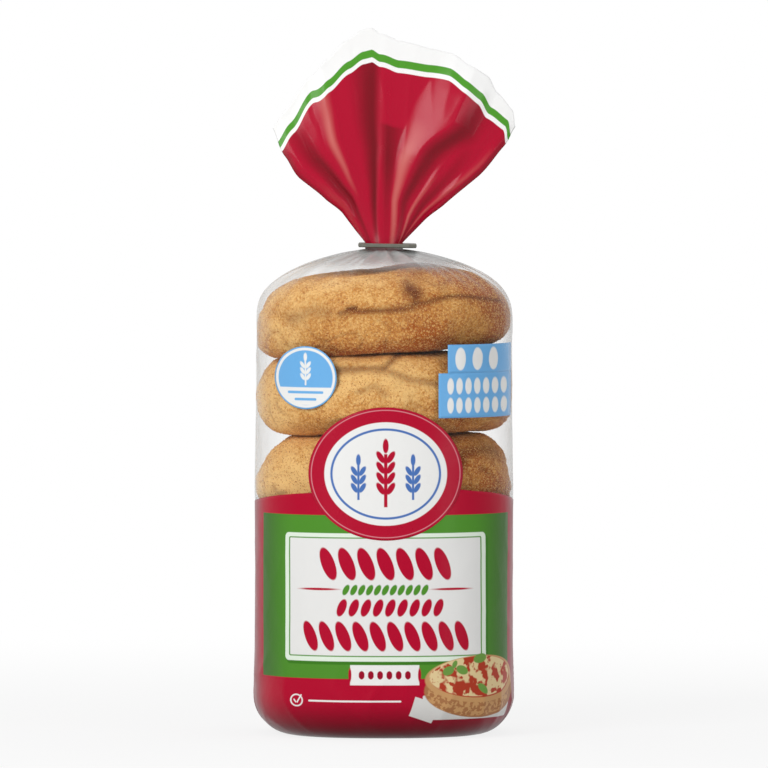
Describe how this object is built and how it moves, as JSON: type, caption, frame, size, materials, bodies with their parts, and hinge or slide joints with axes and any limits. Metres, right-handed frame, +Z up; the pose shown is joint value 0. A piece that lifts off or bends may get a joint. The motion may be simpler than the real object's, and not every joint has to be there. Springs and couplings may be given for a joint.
{
  "type": "tied film bag of English muffins",
  "caption": "Upright tied film bag of English muffins with a clear window, a printed lower wrap, a gathered neck held by a flat tag, and a fan of film above it.",
  "frame": {"origin": "bottom centre of the whole pack's box, on the floor under the middle of the bag", "axes": "+Z up along the stack of muffins, +X to the right seen from the printed front, the front faces -Y"},
  "size_m": [0.0914, 0.09, 0.2466],
  "materials": {
    "printed_film": "glossy red printed polythene film",
    "clear_film": "clear glossy polythene film, slightly milky at its folds",
    "tag_plastic": "satin moulded polystyrene, olive grey",
    "muffin_crust": "matte baked crust, golden brown",
    "semolina": "matte dry grains"
  },
  "bodies": {
    "root": {"bag": "printed_film", "closure_tag": "tag_plastic"}
  },
  "joints": []
}
